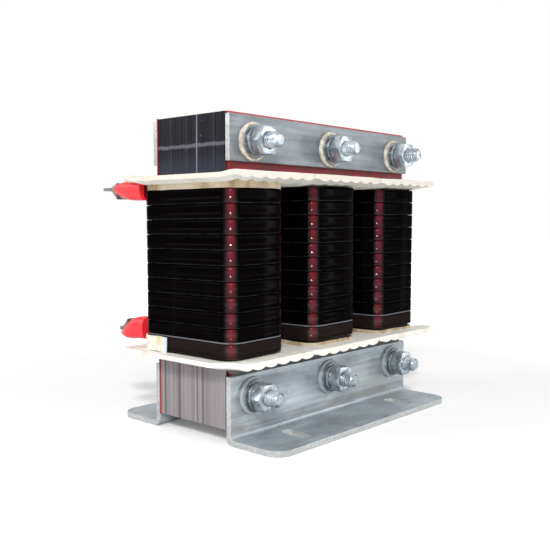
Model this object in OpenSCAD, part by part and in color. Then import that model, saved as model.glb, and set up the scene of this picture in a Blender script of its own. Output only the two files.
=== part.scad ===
/* [Core] */
// Width of each leg and height of each yoke
leg_w = 30; // [24:1:40]
// Depth of the stacked laminations
stack_d = 48; // [36:1:70]
// Distance between neighbouring legs
leg_pitch = 60; // [54:1:90]
// Height of the window between the yokes
window_h = 91; // [70:1:140]
// Height of the core's underside above the mounting plane
core_lift = 7.5; // [4:0.5:15]
// Thickness of each air-gap sheet at the ends of a leg
gap_t = 0.5; // [0.2:0.1:2]

/* [Coils] */
// Turns of flat wire on each coil
turns = 11; // [6:1:11]
// Height of the flat wire
wire_h = 6.5; // [4:0.1:7]
// Thickness of the flat wire
wire_t = 2.4; // [1.2:0.1:3]
// Width of the chamfer on the wire's outer corners
wire_ch = 0.6; // [0.2:0.1:0.9]
// Radius of the coil's corners at the middle of the wire
coil_r = 6.3; // [4.5:0.1:9]
// Gap that the pitch leaves between one turn and the next
turn_gap = 0.83; // [0.6:0.01:1.2]
// Rise of a turn over its three plain sides
turn_rise = 1.2; // [0.5:0.1:2]
// Height of the first turn above its collar or board
coil_seat = 0.75; // [0.3:0.05:2]
// Thickness of the coil former's wall
former_t = 1; // [0.6:0.1:2]
// Thickness of the paper and cloth wrapped on the former
wrap_t = 1; // [0.6:0.1:3]
// Thickness of the packing strips before and behind each leg
packing_t = 4.1; // [1:0.1:8]

/* [Boards] */
// Width of the middle end boards
board_w = 56; // [48:1:70]
// Depth of an end board, front to back
board_d = 84; // [76:1:110]
// Thickness of an end board with its ribs
board_t = 3.5; // [2.5:0.1:6]
// Thickness of an end board at the grooves between its ribs
board_web = 2.3; // [1.2:0.1:2.4]
// Number of ribs under an end board
board_ribs = 6; // [4:1:8]
// Pitch of those ribs
rib_pitch = 8.8; // [5:0.1:8.8]
// Radius of the fine grooves between the ribs on the flat side
groove_r = 0.45; // [0.2:0.05:0.8]
// Radius of the board's corners
board_r = 2; // [1:0.5:12]
// Gap between neighbouring boards
board_gap = 1; // [0.5:0.1:3]
// Distance that the outer boards' free ends stand short of a whole leg pitch
board_shift = 3; // [0:0.5:4]
// Height of the cloth collar under a raised coil
collar_h = 2; // [0.5:0.1:3]

/* [Clamps] */
// Thickness of the clamping steel
clamp_t = 3; // [2:0.1:5]
// Height of the top strips
strip_h = 22; // [18:0.5:28]
// Height of the foot bracket's upright plate
bracket_h = 33.3; // [28:0.1:37]
// Reach of the foot in front of the upright's face
foot_reach = 31; // [24:0.5:45]
// Radius of the foot's outer corners
foot_r = 9; // [2:0.5:12]
// Inner radius of the bend between foot and upright
bend_r = 2; // [1:0.5:4]
// Distance between the two slots of a foot
slot_pitch = 90; // [60:1:110]
// Distance between the front and the back slots
slot_rows = 86; // [80:1:90]
// Length of a slot, end to end
slot_l = 17; // [8:0.5:18]
// Width of a slot
slot_w = 7.5; // [5:0.5:9]
// Thickness of the red insulating sheets
sheet_t = 0.6; // [0.3:0.1:1.5]

/* [Fasteners] */
// Diameter of the clamping bolts
bolt_d = 8; // [5:1:8]
// Distance of the top bolts below the core's top face
top_bolt_drop = 13.5; // [12:0.5:17]
// Length of bolt that stands out of its nut
bolt_tip = 6.7; // [2:0.1:12]
// Outer diameter of the insulating washers
pad_d = 18.6; // [17:0.1:21]
// Thickness of the insulating washers
pad_t = 1.5; // [0.8:0.1:3]

/* [Leads] */
// Distance of the sleeve's end behind the core's middle, top
top_sleeve_y = 59.8; // [59:0.1:70]
// Distance of the lug's tip behind the core's middle, top
top_lug_y = 68.5; // [68:0.1:80]
// Distance of the sleeve's end behind the core's middle, bottom
low_sleeve_y = 60.2; // [59:0.1:70]
// Distance of the lug's tip behind the core's middle, bottom
low_lug_y = 62.9; // [61:0.1:80]
// Height that a bottom lead climbs behind its coil
lead_climb = 5; // [3:0.1:6]
// Bend radius of a lead, at the middle of the wire
lead_r = 3; // [2.6:0.1:4]
// Diameter of the terminal hole
terminal_d = 6.4; // [4:0.1:6.6]
// Width of a lug's palm
palm_w = 10; // [9:0.5:14]
// Thickness of a lug's palm
palm_t = 1.5; // [1:0.1:2.5]
// Height of a top lug's palm above the middle of its barrel
top_palm_lift = 4.5; // [0:0.1:5]
// Height of a bottom lug's palm above the middle of its barrel
low_palm_lift = -1.5; // [-3:0.1:3]
// Thickness of a red sleeve's wall
sleeve_t = 0.65; // [0.4:0.05:0.8]

/* [Hidden] */

$fn = 64;

// Clearances
fit = 0.2;
loose = 0.15;
overrun = 1;

// Levels of the core
low_yoke_top = core_lift + leg_w;
top_yoke_z = low_yoke_top + window_h;
core_top = top_yoke_z + leg_w;
core_l = 2 * leg_pitch + leg_w;
clamp_l = core_l;
legs_x = [-leg_pitch, 0, leg_pitch];
low_bolt_z = core_lift + leg_w / 2;
top_bolt_z = core_top - top_bolt_drop;

// Levels between the boards
coil_floor = low_yoke_top + board_t;
coil_ceiling = top_yoke_z - board_t;
former_play = 0.15;

// Edges of the outer boards, from the core's middle
outer_board_in = board_w / 2 + board_gap;
outer_board_out = leg_pitch + board_w / 2 - board_shift;

// Sizes of the coil
former_x = leg_w / 2 + fit;
former_y = stack_d / 2 + packing_t + fit;
wrap_r = coil_r - wire_t / 2 - fit;
former_r = wrap_r - wrap_t;
bore_r = former_r - former_t;
packing_w = leg_w - 2 * bore_r;
wrap_x = former_x + former_t;
wrap_y = former_y + former_t;
wire_x = wrap_x + wrap_t + fit + wire_t / 2;
wire_y = wrap_y + wrap_t + fit + wire_t / 2;
corner_x = wire_x - coil_r;
corner_y = wire_y - coil_r;
pitch = wire_h + turn_gap;
first_turn_z = coil_floor + coil_seat + wire_h / 2;
raises = [0, collar_h, collar_h];

// Shape of the winding's path
corner_step = 22.5;
low_bend_step = 45;
top_bend_step = 30;
mid_rise_share = 0.7;
step_end_share = 0.325;
step_end_x = -step_end_share * corner_x;
peel_gap = 0.5;
peel_y = wire_y + wire_t + peel_gap;
top_lead_share = 0.7;
top_lead_x = -corner_x - top_lead_share * lead_r;
climb_run_share = 1.5;
low_lead_x = -corner_x + lead_r;
low_bend_y = wire_y + lead_r;
low_climb_y = low_bend_y + lead_r / 2 + climb_run_share * lead_climb;
top_bend_y = peel_y + lead_r;
top_lead_z = first_turn_z + (turns - 1) * pitch + turn_rise;
low_lead_z = first_turn_z + lead_climb;

// Sizes of a lug
barrel_bore = norm([wire_t, wire_h]) + loose;
barrel_wall = 0.8;
barrel_d = barrel_bore + 2 * barrel_wall;
barrel_l = 9;
barrel_floor = 1;
neck_l = 4;
hole_margin_share = 1.5;
top_palm_y = top_lug_y - palm_w / 2;
low_palm_y = low_lug_y - palm_w / 2;
top_neck_y = top_palm_y - terminal_d / 2 - neck_l - hole_margin_share * palm_t;
low_neck_y = low_palm_y - neck_l - palm_t / 2;
top_barrel_floor = top_neck_y - barrel_floor;
low_barrel_floor = low_neck_y - barrel_floor;
sleeve_sides = 16;
sleeve_round_share = 0.6;
sleeve_start_share = 0.68;
sleeve_slack_share = 2;
sleeve_neck_share = 0.7;

// Tape at the start of a coil
tape_t = 0.4;
tape_h_share = 1.2;
tape_front_share = 0.62;

// Sides of a board's round grooves
groove_sides = 24;

// Levels of the top strips
strip_drop = 1.1;
strip_top = core_top - strip_drop;

// Stack of fasteners
clamp_face = stack_d / 2 + sheet_t + clamp_t;
nut_w_share = 1.625;
nut_h_share = 0.8125;
head_h_share = 0.6625;
washer_t_share = 0.2;
spring_d_share = 1.75;
spring_t_share = 0.2625;
tube_d_share = 1.25;
shank_d = bolt_d - fit;
nut_w = nut_w_share * bolt_d;
nut_h = nut_h_share * bolt_d;
head_h = head_h_share * bolt_d;
washer_d = 2 * bolt_d;
washer_t = washer_t_share * bolt_d;
spring_d = spring_d_share * bolt_d;
spring_t = spring_t_share * bolt_d;
spring_slot = 1.2;
spring_angle = 25;
washer_hole = bolt_d + 2 * fit;
tube_bore = bolt_d + fit;
tube_d = tube_d_share * bolt_d;
tube_hole = tube_d + 2 * loose;
tip_ch = 1.2;
nut_face = clamp_face + pad_t + washer_t + spring_t;
head_face = clamp_face + pad_t + washer_t;
bolt_end = nut_face + nut_h + bolt_tip;
sheet_over = 0.4;

// Colours
varnished = [0.16, 0.16, 0.2];
bare_core = [0.45, 0.42, 0.43];
zinc = [0.72, 0.75, 0.78];
steel = [0.8, 0.8, 0.82];
red_sheet = [0.62, 0.08, 0.1];
sleeve_red = [0.95, 0.16, 0.2];
enamel = [0.13, 0.03, 0.04];
board_white = [0.93, 0.92, 0.86];
cloth = [0.86, 0.8, 0.66];
paper = [0.75, 0.66, 0.48];
copper = [0.45, 0.4, 0.38];

// Helpers

// Rectangle with round corners, centred
module round_rect(w, d, r) {
    union() {
        square([w - 2 * r, d], center = true);
        square([w, d - 2 * r], center = true);
        for (x = [-1, 1], y = [-1, 1])
            translate([x * (w / 2 - r), y * (d / 2 - r)])
                circle(r);
    }
}

// Rectangular tube with round corners outside, standing at z
module coil_shell(outer_x, outer_y, outer_r, inner_x, inner_y, inner_r, z, h) {
    translate([0, 0, z])
        linear_extrude(h)
            difference() {
                round_rect(2 * outer_x, 2 * outer_y, outer_r);
                round_rect(2 * inner_x, 2 * inner_y, inner_r);
            }
}

// Cylinder along Y from y1 to y2
module rod(x, z, d, y1, y2) {
    translate([x, y1, z])
        rotate([-90, 0, 0])
            cylinder(d = d, h = y2 - y1);
}

// Box from two corners
module block(a, b) {
    translate(a)
        cube(b - a);
}

// Places of the six bolts
module at_bolts() {
    for (x = legs_x, z = [low_bolt_z, top_bolt_z])
        translate([x, 0, z])
            children();
}

// Places of the three coils
module at_coils() {
    for (x = legs_x)
        translate([x, 0, 0])
            children();
}

// Core

// One block of laminations with the bolt holes through it
module yoke(z, bolt_z) {
    difference() {
        block([-core_l / 2, -stack_d / 2, z], [core_l / 2, stack_d / 2, z + leg_w]);
        for (x = legs_x)
            rod(x, bolt_z, tube_hole, -stack_d / 2 - overrun, stack_d / 2 + overrun);
    }
}

module top_yoke() {
    color(varnished)
        yoke(top_yoke_z, top_bolt_z);
}

module bottom_yoke() {
    color(bare_core)
        yoke(core_lift, low_bolt_z);
}

module leg(x) {
    color(bare_core)
        block(
            [x - leg_w / 2, -stack_d / 2, low_yoke_top + gap_t],
            [x + leg_w / 2, stack_d / 2, top_yoke_z - gap_t]
        );
}

module gap_sheets() {
    color(paper)
        for (x = legs_x, z = [low_yoke_top, top_yoke_z - gap_t])
            block([x - leg_w / 2, -stack_d / 2, z], [x + leg_w / 2, stack_d / 2, z + gap_t]);
}

// Strips that fill the former before and behind each leg
module packing_strips() {
    color(paper)
        for (x = legs_x, side = [0, 1])
            mirror([0, side, 0])
                block(
                    [x - packing_w / 2, stack_d / 2, coil_floor + former_play],
                    [x + packing_w / 2, stack_d / 2 + packing_t, coil_ceiling - former_play]
                );
}

// Coils

module former(x) {
    color(paper)
        translate([x, 0, 0])
            coil_shell(
                wrap_x, wrap_y, former_r,
                former_x, former_y, bore_r,
                coil_floor + former_play, coil_ceiling - coil_floor - 2 * former_play
            );
}

module wrap(x) {
    color(cloth)
        translate([x, 0, 0])
            coil_shell(
                wrap_x + wrap_t, wrap_y + wrap_t, wrap_r,
                wrap_x, wrap_y, former_r,
                coil_floor + former_play, coil_ceiling - coil_floor - 2 * former_play
            );
}

// Section of the flat wire as [outward, up], chamfered on its outer corners
function wire_section(grow = 0) =
    let (t = wire_t / 2 + grow, h = wire_h / 2 + grow)
    [
        [-t, -h], [t - wire_ch, -h], [t, wire_ch - h],
        [t, h - wire_ch], [t - wire_ch, h], [-t, h]
    ];

// Unit vector that points outward from a coil, for a heading in degrees
function outward(heading) = [sin(heading), -cos(heading), 0];

// One station of a path: centre, then heading
function station(p, heading) = [p[0], p[1], p[2], heading];

// Stations round one corner, at a radius that may grow by spread
function corner(cx, cy, from, z, spread = 0) = [
    for (a = [0 : corner_step : 90])
        let (r = coil_r + spread * a / 90)
        station([cx, cy, z] + r * outward(from + a), from + a)
];

// Stations of one turn, from its front-left corner to its back-left one
function turn(z) = concat(
    corner(-corner_x, -corner_y, 270, z + turn_rise / 2),
    corner(corner_x, -corner_y, 0, z + mid_rise_share * turn_rise),
    corner(corner_x, corner_y, 90, z + turn_rise),
    [station([step_end_x, wire_y, z + pitch], 180)],
    corner(-corner_x, corner_y, 180, z + pitch)
);

// Last turn, whose end leaves the coil outside the turn below it
function last_turn(z) = concat(
    corner(-corner_x, -corner_y, 270, z + turn_rise / 2),
    corner(corner_x, -corner_y, 0, z + mid_rise_share * turn_rise),
    corner(corner_x, corner_y, 90, z + turn_rise, peel_y - wire_y)
);

// Bottom lead, coming in from behind and turning on to the back of the coil
function low_lead(z, wire_end) = concat(
    [
        station([low_lead_x, wire_end, low_lead_z], 270),
        station([low_lead_x, low_climb_y, low_lead_z], 270),
        station([low_lead_x, low_bend_y + lead_r / 2, z], 270)
    ],
    [
        for (a = [0 : low_bend_step : 90])
            station([low_lead_x - lead_r, low_bend_y, z] - lead_r * outward(270 - a), 270 - a)
    ],
    corner(-corner_x, corner_y, 180, z)
);

// Top lead, turning away behind the coil
function top_lead(z, wire_end) = concat(
    [station([step_end_x, peel_y, z], 180)],
    [
        for (a = [0 : top_bend_step : 90])
            station([top_lead_x + lead_r, top_bend_y, z] - lead_r * outward(180 - a), 180 - a)
    ],
    [
        station([top_lead_x, top_bend_y + loose, z], 90),
        station([top_lead_x, wire_end, z], 90)
    ]
);

// Whole path of a coil that stands raise above the lowest place
function coil_path(raise) = concat(
    low_lead(first_turn_z + raise, low_barrel_floor - fit),
    [for (k = [0 : turns - 2]) each turn(first_turn_z + raise + k * pitch)],
    last_turn(first_turn_z + raise + (turns - 1) * pitch),
    top_lead(top_lead_z, top_barrel_floor - fit)
);

// Points of the section set on a station
function ring(s, section) =
    let (n = outward(s[3]))
    [for (q = section) [s[0], s[1], s[2]] + q[0] * n + [0, 0, q[1]]];

// Closed tube through a path's stations
module tube_along(path, section) {
    sides = len(section);
    points = [for (s = path) each ring(s, section)];
    last = (len(path) - 1) * sides;
    walls = [
        for (i = [0 : len(path) - 2], j = [0 : sides - 1])
            let (k = (j + 1) % sides, a = i * sides, b = a + sides)
            each [[a + j, b + j, b + k], [a + j, b + k, a + k]]
    ];
    near_cap = [for (j = [1 : sides - 2]) [0, j, j + 1]];
    far_cap = [for (j = [1 : sides - 2]) [last, last + j + 1, last + j]];
    polyhedron(points, concat(walls, near_cap, far_cap));
}

// Least distance between points of the tube that lie a turn apart
turn_rings = len(turn(0));
near_rings = 8;
function probe_section() = [
    for (u = [-wire_t / 2, 0, wire_t / 2], v = [-wire_h / 2, 0, wire_h / 2])
        if (u != 0 || v != 0) [u, v]
];
function ring_gap(a, b) = min([
    for (p = ring(a, probe_section()), q = ring(b, probe_section()))
        norm(p - q)
]);
function least_gap(path) = min([
    for (i = [0 : len(path) - turn_rings], j = [i + turn_rings - near_rings : len(path) - 1])
        let (d = [path[i][0] - path[j][0], path[i][1] - path[j][1], path[i][2] - path[j][2]])
        if (norm(d) < 2 * pitch) ring_gap(path[i], path[j])
]);

module winding(i) {
    path = coil_path(raises[i]);
    echo(winding = i, rings = len(path), least_gap = least_gap(path));
    color(enamel)
        translate([legs_x[i], 0, 0])
            tube_along(path, wire_section());
}

// Cloth band between a low coil and its top board
module top_bands() {
    color(cloth)
        for (i = [0 : len(raises) - 1])
            if (raises[i] == 0)
                translate([legs_x[i], 0, 0])
                    coil_shell(
                        wire_x + wire_t / 2 - fit, wire_y + wire_t / 2 - fit, coil_r,
                        wrap_x + wrap_t + loose, wrap_y + wrap_t + loose, wrap_r + loose,
                        top_lead_z + wire_h / 2 + loose,
                        coil_ceiling - top_lead_z - wire_h / 2 - 2 * loose
                    );
}

// Cloth collars that raise the other coils
module bottom_collars() {
    color(cloth)
        for (i = [0 : len(raises) - 1])
            if (raises[i] > 0)
                translate([legs_x[i], 0, 0])
                    coil_shell(
                        wire_x + wire_t / 2 - fit, wire_y + wire_t / 2 - fit, coil_r,
                        wrap_x + wrap_t + loose, wrap_y + wrap_t + loose, wrap_r + loose,
                        coil_floor, raises[i]
                    );
}

// Tape that binds the first turn's start round the back-left corner
module start_tapes() {
    color(cloth)
        for (i = [0 : len(raises) - 1])
            translate([legs_x[i], 0, 0])
                intersection() {
                    coil_shell(
                        wire_x + wire_t / 2 + loose + tape_t, wire_y + wire_t / 2 + loose + tape_t,
                        coil_r + wire_t / 2 + loose + tape_t,
                        wire_x + wire_t / 2 + loose, wire_y + wire_t / 2 + loose,
                        coil_r + wire_t / 2 + loose,
                        coil_floor + raises[i] + loose, tape_h_share * wire_h
                    );
                    block(
                        [-2 * wire_x, tape_front_share * corner_y, coil_floor],
                        [-corner_x - lead_r / 2, wire_y, coil_ceiling]
                    );
                }
}

// Boards

// Ribbed section of a board w wide, standing on z = 0, centred on x
module board_section(w) {
    rib_sag = board_t - board_web;
    half = rib_pitch / 2;
    rib_r = (half * half + rib_sag * rib_sag) / (2 * rib_sag);
    union() {
        difference() {
            translate([-w / 2, rib_sag])
                square([w, board_web]);
            for (k = [1 : board_ribs - 1])
                translate([(k - board_ribs / 2) * rib_pitch, board_t])
                    circle(groove_r, $fn = groove_sides);
        }
        intersection() {
            translate([-w / 2, 0])
                square([w, board_t - board_web / 2]);
            union() {
                for (k = [0 : board_ribs - 1])
                    translate([(k - (board_ribs - 1) / 2) * rib_pitch, rib_r])
                        circle(rib_r);
            }
        }
    }
}

// Board round the leg at x, its underside at z
module board(x, z) {
    side = sign(x);
    w = side == 0 ? board_w : outer_board_out - outer_board_in;
    mid = side * (outer_board_in + outer_board_out) / 2;
    color(board_white)
        translate([mid, 0, z])
            difference() {
                intersection() {
                    translate([0, board_d / 2, 0])
                        rotate([90, 0, 0])
                            linear_extrude(board_d)
                                board_section(w);
                    translate([0, 0, -overrun])
                        linear_extrude(board_t + 2 * overrun)
                            round_rect(w, board_d, board_r);
                }
                block(
                    [x - mid - leg_w / 2 - fit, -stack_d / 2 - fit, -overrun],
                    [x - mid + leg_w / 2 + fit, stack_d / 2 + fit, board_t + overrun]
                );
            }
}

// Clamping parts

// Insulating sheet between the core and the clamping steel
module sheet(z, bolt_z, side) {
    color(red_sheet)
        mirror([0, side, 0])
            difference() {
                block(
                    [-core_l / 2 - sheet_over, -stack_d / 2 - sheet_t, z],
                    [core_l / 2 + sheet_over, -stack_d / 2, z + leg_w]
                );
                for (x = legs_x)
                    rod(x, bolt_z, tube_hole, -stack_d / 2 - sheet_t - overrun, -stack_d / 2 + overrun);
            }
}

module top_strip(side) {
    color(zinc)
        mirror([0, side, 0])
            difference() {
                block(
                    [-clamp_l / 2, -clamp_face, strip_top - strip_h],
                    [clamp_l / 2, -clamp_face + clamp_t, strip_top]
                );
                for (x = legs_x)
                    rod(x, top_bolt_z, tube_hole, -clamp_face - overrun, -clamp_face + clamp_t + overrun);
            }
}

// Section of the front bracket in Y and Z, drawn from the upright's inner face
module bracket_section() {
    outer_r = bend_r + clamp_t;
    inner_y = -clamp_face + clamp_t;
    difference() {
        union() {
            translate([-clamp_face, outer_r])
                square([clamp_t, bracket_h - outer_r]);
            translate([-clamp_face - foot_reach, 0])
                square([foot_reach + clamp_t - outer_r, clamp_t]);
            translate([inner_y - outer_r, outer_r])
                intersection() {
                    circle(outer_r);
                    translate([0, -outer_r])
                        square(outer_r);
                }
            translate([inner_y - outer_r, clamp_t])
                square([bend_r, bend_r]);
        }
        translate([inner_y - outer_r, outer_r])
            circle(bend_r);
    }
}

module slot_cut(x, y) {
    translate([x, y, -overrun])
        linear_extrude(clamp_t + 2 * overrun)
            union() {
                square([slot_w, slot_l - slot_w], center = true);
                for (end = [-1, 1])
                    translate([0, end * (slot_l - slot_w) / 2])
                        circle(d = slot_w);
            }
}

module foot_bracket(side) {
    color(zinc)
        mirror([0, side, 0])
            difference() {
                intersection() {
                    translate([-clamp_l / 2, 0, 0])
                        rotate([90, 0, 90])
                            linear_extrude(clamp_l)
                                bracket_section();
                    translate([0, -clamp_face - foot_reach, -overrun])
                        linear_extrude(bracket_h + 2 * overrun)
                            bracket_plan();
                }
                for (end = [-1, 1])
                    slot_cut(end * slot_pitch / 2, -slot_rows / 2);
                for (x = legs_x)
                    rod(x, low_bolt_z, tube_hole, -clamp_face - overrun, -clamp_face + clamp_t + overrun);
            }
}

// Outline of the bracket from above, its front edge at y = 0
module bracket_plan() {
    depth = foot_reach + clamp_t;
    union() {
        translate([-clamp_l / 2, foot_r])
            square([clamp_l, depth - foot_r]);
        translate([foot_r - clamp_l / 2, 0])
            square([clamp_l - 2 * foot_r, depth]);
        for (end = [-1, 1])
            translate([end * (clamp_l / 2 - foot_r), foot_r])
                circle(foot_r);
    }
}

// Fasteners

// Hexagonal block with chamfered corners on its far face, standing on z = 0
module hex_block(h) {
    corner_d = nut_w / cos(30);
    ch = (corner_d - nut_w) / 2;
    intersection() {
        cylinder(d = corner_d, h = h, $fn = 6);
        rotate_extrude()
            polygon([
                [0, 0], [corner_d / 2, 0], [corner_d / 2, h - ch / 2],
                [nut_w / 2 - ch / 2, h], [0, h]
            ]);
    }
}

// Bolt along Y with its head behind and its chamfered tip in front
module through_bolts() {
    color(steel)
        at_bolts()
            rotate([90, 0, 0])
                union() {
                    translate([0, 0, -head_face])
                        mirror([0, 0, 1])
                            hex_block(head_h);
                    rotate_extrude()
                        polygon([
                            [0, -head_face], [shank_d / 2, -head_face],
                            [shank_d / 2, bolt_end - tip_ch],
                            [shank_d / 2 - tip_ch, bolt_end], [0, bolt_end]
                        ]);
                }
}

// Ring along Y between y1 and y2, mirrored behind the core when back is 1
module ring_on_bolt(d, hole, y1, y2, back) {
    mirror([0, back, 0])
        difference() {
            rod(0, 0, d, -y2, -y1);
            rod(0, 0, hole, -y2 - overrun, -y1 + overrun);
        }
}

module bolt_tubes() {
    color(cloth)
        at_bolts()
            ring_on_bolt(tube_d, tube_bore, -clamp_face, clamp_face, 0);
}

module insulating_washers() {
    color(cloth)
        at_bolts()
            for (back = [0, 1])
                ring_on_bolt(pad_d, washer_hole, clamp_face, clamp_face + pad_t, back);
}

module flat_washers() {
    color(steel)
        at_bolts()
            for (back = [0, 1])
                ring_on_bolt(washer_d, washer_hole, clamp_face + pad_t, head_face, back);
}

// Split spring washer, its cut slanting through the ring
module spring_washers() {
    color(steel)
        at_bolts()
            difference() {
                ring_on_bolt(spring_d, washer_hole, head_face, nut_face, 0);
                translate([0, -(head_face + nut_face) / 2, spring_d / 2])
                    rotate([0, 0, spring_angle])
                        cube([spring_slot, 2 * spring_t, spring_d], center = true);
            }
}

module nuts() {
    color(steel)
        at_bolts()
            translate([0, -nut_face, 0])
                rotate([90, 0, 0])
                    difference() {
                        hex_block(nut_h);
                        translate([0, 0, -overrun])
                            cylinder(d = bolt_d, h = nut_h + 2 * overrun);
                    }
}

// Leads

// Prism across X from points in Y and Z
module side_prism(points, w) {
    translate([-w / 2, 0, 0])
        rotate([90, 0, 90])
            linear_extrude(w)
                polygon(points);
}

// Flattened part between barrel and palm, whose palm stands lift above the barrel's middle
module neck(y, lift) {
    intersection() {
        side_prism(
            [
                [y, -barrel_d / 2], [y + neck_l, lift - palm_t / 2],
                [y + neck_l, lift + palm_t / 2], [y, barrel_d / 2]
            ],
            palm_w + 2 * overrun
        );
        translate([0, 0, -barrel_d])
            linear_extrude(2 * barrel_d)
                polygon([
                    [-barrel_d / 2, y], [barrel_d / 2, y],
                    [palm_w / 2, y + neck_l], [-palm_w / 2, y + neck_l]
                ]);
    }
}

// Cable lug whose neck starts at neck_y, whose hole is at hole_y and whose palm stands lift high
module lug(neck_y, hole_y, lift) {
    difference() {
        union() {
            rod(0, 0, barrel_d, neck_y - barrel_l, neck_y);
            intersection() {
                neck(neck_y, lift);
                rod(0, 0, 2 * palm_w, neck_y, neck_y + neck_l);
            }
            translate([0, 0, lift - palm_t / 2])
                linear_extrude(palm_t)
                    union() {
                        translate([-palm_w / 2, neck_y + neck_l])
                            square([palm_w, hole_y - neck_y - neck_l]);
                        translate([0, hole_y])
                            circle(d = palm_w);
                    }
        }
        rod(0, 0, barrel_bore, neck_y - barrel_l - overrun, neck_y - barrel_floor);
        translate([0, hole_y, -barrel_d])
            cylinder(d = terminal_d, h = 2 * barrel_d);
    }
}

module top_lugs() {
    color(copper)
        at_coils()
            translate([top_lead_x, 0, top_lead_z])
                lug(top_neck_y, top_palm_y, top_palm_lift);
}

module bottom_lugs() {
    color(copper)
        at_coils()
            translate([low_lead_x, 0, low_lead_z])
                lug(low_neck_y, low_palm_y, low_palm_lift);
}

// One ring of a sleeve: a rounded section at y and z, its width and height less twice the inset
function sleeve_ring(y, z, w, h, inset) = [
    for (k = [0 : sleeve_sides - 1])
        let (a = 360 * k / sleeve_sides, c = cos(a), s = sin(a))
        [
            (w / 2 - inset) * sign(c) * pow(abs(c), sleeve_round_share),
            y,
            z + (h / 2 - inset) * sign(s) * pow(abs(s), sleeve_round_share)
        ]
];

// Closed skin through rings of sleeve_sides points each
module sleeve_skin(rings) {
    n = sleeve_sides;
    last = (len(rings) - 1) * n;
    points = [for (r = rings) each r];
    walls = [
        for (i = [0 : len(rings) - 2], j = [0 : n - 1])
            let (k = (j + 1) % n, a = i * n, b = a + n)
            each [[a + j, a + k, b + k], [a + j, b + k, b + j]]
    ];
    near_cap = [for (j = [1 : n - 2]) [0, j + 1, j]];
    far_cap = [for (j = [1 : n - 2]) [last, last + j, last + j + 1]];
    polyhedron(points, concat(walls, near_cap, far_cap));
}

// Rings of a sleeve from start_y over barrel and neck to end_y, past both ends by extra
function sleeve_rings(start_y, neck_y, end_y, lift, inset, extra) =
    let (
        full = barrel_d + 2 * (sleeve_t + loose),
        flat_w = palm_w + 2 * sleeve_slack_share * sleeve_t,
        flat_h = palm_t + 2 * sleeve_slack_share * sleeve_t
    )
    [
        sleeve_ring(start_y - extra, 0, sleeve_start_share * barrel_d, barrel_d, inset),
        sleeve_ring(neck_y - barrel_l - loose, 0, full, full, inset),
        sleeve_ring(neck_y, 0, full, full, inset),
        sleeve_ring(neck_y + neck_l, sleeve_neck_share * lift, flat_w, (full + flat_h) / 2, inset),
        sleeve_ring(end_y + extra, lift, flat_w, flat_h, inset)
    ];

// Sleeve over a lead and its lug, in the lug's own place
module sleeve(start_y, neck_y, end_y, lift) {
    difference() {
        sleeve_skin(sleeve_rings(start_y, neck_y, end_y, lift, 0, 0));
        sleeve_skin(sleeve_rings(start_y, neck_y, end_y, lift, sleeve_t, overrun));
    }
}

module top_sleeves() {
    color(sleeve_red)
        at_coils()
            translate([top_lead_x, 0, top_lead_z])
                sleeve(top_bend_y + loose, top_neck_y, top_sleeve_y, top_palm_lift);
}

module bottom_sleeves() {
    color(sleeve_red)
        at_coils()
            translate([low_lead_x, 0, low_lead_z])
                sleeve(low_climb_y, low_neck_y, low_sleeve_y, low_palm_lift);
}

top_yoke();
bottom_yoke();
leg(legs_x[0]);  // left_leg
leg(legs_x[1]);  // middle_leg
leg(legs_x[2]);  // right_leg
gap_sheets();
packing_strips();
former(legs_x[0]);  // left_former
former(legs_x[1]);  // middle_former
former(legs_x[2]);  // right_former
wrap(legs_x[0]);  // left_wrap
wrap(legs_x[1]);  // middle_wrap
wrap(legs_x[2]);  // right_wrap
winding(0);  // left_winding
winding(1);  // middle_winding
winding(2);  // right_winding
top_bands();
bottom_collars();
start_tapes();
board(legs_x[0], coil_ceiling);  // left_top_board
board(legs_x[1], coil_ceiling);  // middle_top_board
board(legs_x[2], coil_ceiling);  // right_top_board
board(legs_x[0], low_yoke_top);  // left_bottom_board
board(legs_x[1], low_yoke_top);  // middle_bottom_board
board(legs_x[2], low_yoke_top);  // right_bottom_board
sheet(top_yoke_z + fit, top_bolt_z, 0);  // front_top_sheet
sheet(top_yoke_z + fit, top_bolt_z, 1);  // back_top_sheet
sheet(core_lift - fit, low_bolt_z, 0);  // front_bottom_sheet
sheet(core_lift - fit, low_bolt_z, 1);  // back_bottom_sheet
top_strip(0);  // front_top_strip
top_strip(1);  // back_top_strip
foot_bracket(0);  // front_foot_bracket
foot_bracket(1);  // back_foot_bracket
through_bolts();
bolt_tubes();
insulating_washers();
flat_washers();
spring_washers();
nuts();
top_lugs();
bottom_lugs();
top_sleeves();
bottom_sleeves();
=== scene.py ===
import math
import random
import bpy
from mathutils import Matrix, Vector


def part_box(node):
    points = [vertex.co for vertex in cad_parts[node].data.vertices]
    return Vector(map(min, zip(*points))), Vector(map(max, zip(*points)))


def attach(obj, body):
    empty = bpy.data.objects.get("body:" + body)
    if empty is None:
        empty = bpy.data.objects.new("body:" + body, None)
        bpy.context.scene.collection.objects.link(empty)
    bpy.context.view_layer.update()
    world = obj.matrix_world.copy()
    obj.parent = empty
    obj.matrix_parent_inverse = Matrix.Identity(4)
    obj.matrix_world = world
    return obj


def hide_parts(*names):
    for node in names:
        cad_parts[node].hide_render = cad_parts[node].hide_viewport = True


bl_info = {
    "name": "Line Reactor",
    "version": (1, 0, 0),
    "blender": (4, 5, 0),
    "location": "3D View > Sidebar > Reactor",
    "description": "Dresses a three-phase line reactor and sets up its studio",
    "category": "Object",
}

import bmesh
import bpy
from bpy.props import FloatProperty, FloatVectorProperty, IntProperty, PointerProperty
from mathutils import Matrix, Vector, noise

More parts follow.
